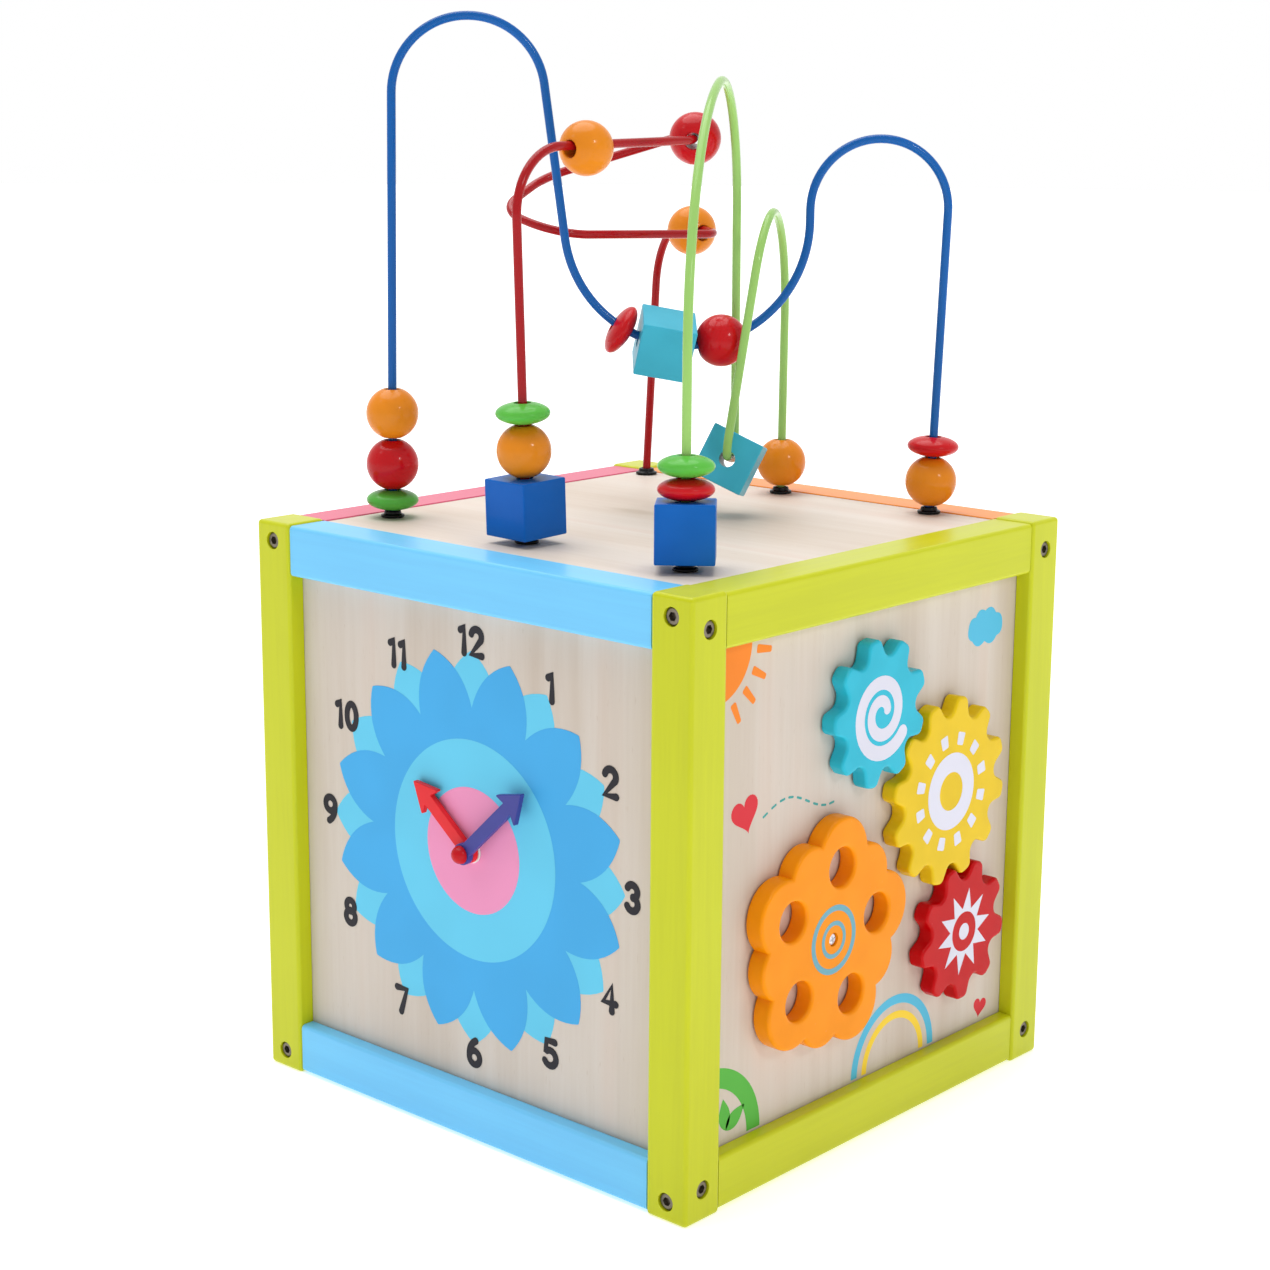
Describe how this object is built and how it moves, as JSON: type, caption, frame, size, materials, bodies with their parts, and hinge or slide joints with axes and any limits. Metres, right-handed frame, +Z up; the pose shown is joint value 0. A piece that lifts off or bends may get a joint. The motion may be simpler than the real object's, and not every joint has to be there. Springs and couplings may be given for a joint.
{
  "type": "activity cube",
  "caption": "Wooden activity cube for toddlers: framed box with a clock, meshed gears, a finger-hole wheel, sliders and a chalkboard, and a wire bead maze on top.",
  "frame": {"origin": "centre of the square footprint, on the floor that the four posts stand on", "axes": "+Z up; the clock side faces -Y, the gear side +X, the chalkboard side +Y and the slider side -X"},
  "size_m": [0.3055, 0.3039, 0.5606],
  "materials": {
    "birch": "satin clear lacquer on pale birch plywood",
    "black": "glossy black moulded plastic",
    "blue": "semi-gloss colour lacquer on solid wood",
    "green": "semi-gloss colour lacquer on solid wood",
    "lime": "semi-gloss colour lacquer on solid wood",
    "orange": "semi-gloss colour lacquer on solid wood",
    "pink": "semi-gloss colour lacquer on solid wood",
    "red": "semi-gloss colour lacquer on solid wood",
    "sky_blue": "semi-gloss colour lacquer on solid wood",
    "slate": "matt chalkboard paint on plywood",
    "steel": "plated steel",
    "teal": "semi-gloss colour lacquer on solid wood",
    "violet": "semi-gloss colour lacquer on solid wood",
    "white": "satin white moulded plastic",
    "wire_blue": "glossy enamel on a bent steel wire",
    "wire_green": "glossy enamel on a bent steel wire",
    "wire_red": "glossy enamel on a bent steel wire",
    "yellow": "semi-gloss colour lacquer on solid wood"
  },
  "bodies": {
    "cube": {"axle_red": "white", "axle_teal": "white", "axle_yellow": "white", "clock_pin": "red", "clock_spacer": "white", "panel_back": "slate", "panel_bottom": "birch", "panel_front": "birch", "panel_left": "birch", "panel_right": "birch", "panel_top": "birch", "post_back_left": "lime", "post_back_right": "lime", "post_front_left": "lime", "post_front_right": "lime", "rail_back_bottom": "orange", "rail_back_top": "orange", "rail_front_bottom": "sky_blue", "rail_front_top": "sky_blue", "rail_left_bottom": "pink", "rail_left_top": "pink", "rail_right_bottom": "lime", "rail_right_top": "lime", "wheel_screw": "steel", "wire_blue": "wire_blue", "wire_collar_1": "black", "wire_collar_2": "black", "wire_collar_3": "black", "wire_collar_4": "black", "wire_collar_5": "black", "wire_collar_6": "black", "wire_green": "wire_green", "wire_red": "wire_red"},
    "bead_disc_green_a": {"bead_disc_green_a": "green"},
    "bead_ball_red_a": {"bead_ball_red_a": "red"},
    "bead_ball_orange_a": {"bead_ball_orange_a": "orange"},
    "bead_ball_orange_b": {"bead_ball_orange_b": "orange"},
    "bead_disc_red_a": {"bead_disc_red_a": "red"},
    "bead_cube_blue_a": {"bead_cube_blue_a": "blue"},
    "bead_ball_orange_c": {"bead_ball_orange_c": "orange"},
    "bead_disc_green_b": {"bead_disc_green_b": "green"},
    "bead_cube_blue_b": {"bead_cube_blue_b": "blue"},
    "bead_disc_red_b": {"bead_disc_red_b": "red"},
    "bead_disc_green_c": {"bead_disc_green_c": "green"},
    "bead_ball_orange_d": {"bead_ball_orange_d": "orange"},
    "bead_cube_teal_a": {"bead_cube_teal_a": "teal"},
    "bead_disc_red_c": {"bead_disc_red_c": "red"},
    "bead_ball_red_b": {"bead_ball_red_b": "red"},
    "bead_ball_orange_e": {"bead_ball_orange_e": "orange"},
    "bead_ball_red_c": {"bead_ball_red_c": "red"},
    "bead_ball_orange_f": {"bead_ball_orange_f": "orange"},
    "bead_cube_teal_b": {"bead_cube_teal_b": "teal"},
    "hour_hand": {"hour_hand": "red"},
    "minute_hand": {"minute_hand": "violet"},
    "gear_yellow": {"gear_yellow": "yellow"},
    "gear_teal": {"gear_teal": "teal"},
    "gear_red": {"gear_red": "red"},
    "flower_wheel": {"flower_wheel": "orange"},
    "slider_knob_a": {"slider_knob_a": "green"},
    "slider_knob_b": {"slider_knob_b": "red"}
  },
  "joints": [
    {"name": "bead_disc_green_a_slide", "type": "slide", "parent": "cube", "child": "bead_disc_green_a", "axis": [0.0077, 0.0082, 0.9999], "range_m": [0, 0.049]},
    {"name": "bead_ball_red_a_slide", "type": "slide", "parent": "bead_disc_green_a", "child": "bead_ball_red_a", "axis": [0.0077, 0.0082, 0.9999], "range_m": [0, 0.049]},
    {"name": "bead_ball_orange_a_slide", "type": "slide", "parent": "bead_ball_red_a", "child": "bead_ball_orange_a", "axis": [0.0077, 0.0082, 0.9999], "range_m": [0, 0.0508]},
    {"name": "bead_ball_orange_b_slide", "type": "slide", "parent": "cube", "child": "bead_ball_orange_b", "axis": [0.0212, 0.0224, 0.9995], "range_m": [0, 0.058]},
    {"name": "bead_disc_red_a_slide", "type": "slide", "parent": "bead_ball_orange_b", "child": "bead_disc_red_a", "axis": [0.0212, 0.0224, 0.9995], "range_m": [0, 0.0584]},
    {"name": "bead_cube_blue_a_slide", "type": "slide", "parent": "cube", "child": "bead_cube_blue_a", "axis": [0.0005, -0.0403, 0.9992], "range_m": [0, 0.029]},
    {"name": "bead_ball_orange_c_slide", "type": "slide", "parent": "bead_cube_blue_a", "child": "bead_ball_orange_c", "axis": [0.0005, -0.0403, 0.9992], "range_m": [0, 0.029]},
    {"name": "bead_disc_green_b_slide", "type": "slide", "parent": "bead_ball_orange_c", "child": "bead_disc_green_b", "axis": [0.0005, -0.0403, 0.9992], "range_m": [0, 0.0299]},
    {"name": "bead_cube_blue_b_slide", "type": "slide", "parent": "cube", "child": "bead_cube_blue_b", "axis": [-0.0305, 0.0329, 0.999], "range_m": [0, 0.014]},
    {"name": "bead_disc_red_b_slide", "type": "slide", "parent": "bead_cube_blue_b", "child": "bead_disc_red_b", "axis": [-0.0305, 0.0329, 0.999], "range_m": [0, 0.014]},
    {"name": "bead_disc_green_c_slide", "type": "slide", "parent": "bead_disc_red_b", "child": "bead_disc_green_c", "axis": [-0.0305, 0.0329, 0.999], "range_m": [0, 0.0164]},
    {"name": "bead_ball_orange_d_slide", "type": "slide", "parent": "cube", "child": "bead_ball_orange_d", "axis": [-0.0219, 0.0329, 0.9992], "range_m": [0, 0.0671]},
    {"name": "bead_cube_teal_a_swing", "type": "hinge", "parent": "cube", "child": "bead_cube_teal_a", "pos_m": [-0.00308, 0.02141, 0.4553], "axis": [0.7259, -0.6878, 0], "range_deg": [-20, 3]},
    {"name": "bead_disc_red_c_swing", "type": "hinge", "parent": "bead_cube_teal_a", "child": "bead_disc_red_c", "pos_m": [-0.00308, 0.02141, 0.4553], "axis": [0.7259, -0.6878, 0], "range_deg": [-20, 2]},
    {"name": "bead_ball_red_b_swing", "type": "hinge", "parent": "bead_cube_teal_a", "child": "bead_ball_red_b", "pos_m": [-0.00308, 0.02141, 0.4553], "axis": [0.7259, -0.6878, 0], "range_deg": [-1, 2]},
    {"name": "bead_ball_orange_e_slide", "type": "slide", "parent": "cube", "child": "bead_ball_orange_e", "axis": [-0.0329, 0.9993, 0.0198], "range_m": [-0.005, 0.06]},
    {"name": "bead_ball_red_c_slide", "type": "slide", "parent": "cube", "child": "bead_ball_red_c", "axis": [-0.5724, 0.8133, 0.1039], "range_m": [-0.002, 0.002]},
    {"name": "bead_ball_orange_f_slide", "type": "slide", "parent": "cube", "child": "bead_ball_orange_f", "axis": [-0.9444, 0.322, 0.067], "range_m": [-0.005, 0.001]},
    {"name": "bead_cube_teal_b_spin", "type": "hinge", "parent": "cube", "child": "bead_cube_teal_b", "pos_m": [0.01435, 0.03798, 0.33023], "axis": [0.5505, -0.815, 0.1809], "continuous": true},
    {"name": "hour_hand_spin", "type": "hinge", "parent": "cube", "child": "hour_hand", "pos_m": [0, -0.1405, 0.151], "axis": [0, -1, 0], "continuous": true},
    {"name": "minute_hand_spin", "type": "hinge", "parent": "cube", "child": "minute_hand", "pos_m": [0, -0.1405, 0.151], "axis": [0, -1, 0], "continuous": true},
    {"name": "gear_yellow_spin", "type": "hinge", "parent": "cube", "child": "gear_yellow", "pos_m": [0.1405, 0.05731, 0.16981], "axis": [1, 0, 0], "continuous": true},
    {"name": "gear_teal_spin", "type": "hinge", "parent": "cube", "child": "gear_teal", "pos_m": [0.1405, -0.00524, 0.22284], "axis": [1, 0, 0], "continuous": true},
    {"name": "gear_red_spin", "type": "hinge", "parent": "cube", "child": "gear_red", "pos_m": [0.1405, 0.07394, 0.0895], "axis": [1, 0, 0], "continuous": true},
    {"name": "flower_wheel_spin", "type": "hinge", "parent": "cube", "child": "flower_wheel", "pos_m": [0.1405, -0.04209, 0.1155], "axis": [1, 0, 0], "continuous": true},
    {"name": "slider_knob_a_slide", "type": "slide", "parent": "cube", "child": "slider_knob_a", "axis": [0, 1, 0], "range_m": [-0.1042, 0.0442]},
    {"name": "slider_knob_b_slide", "type": "slide", "parent": "cube", "child": "slider_knob_b", "axis": [0, 1, 0], "range_m": [-0.0442, 0.1042]}
  ],
  "couplings": [
    {"joint": "gear_teal_spin", "follows": "gear_yellow_spin", "ratio": -1.3333},
    {"joint": "gear_red_spin", "follows": "gear_yellow_spin", "ratio": -1.3333}
  ]
}
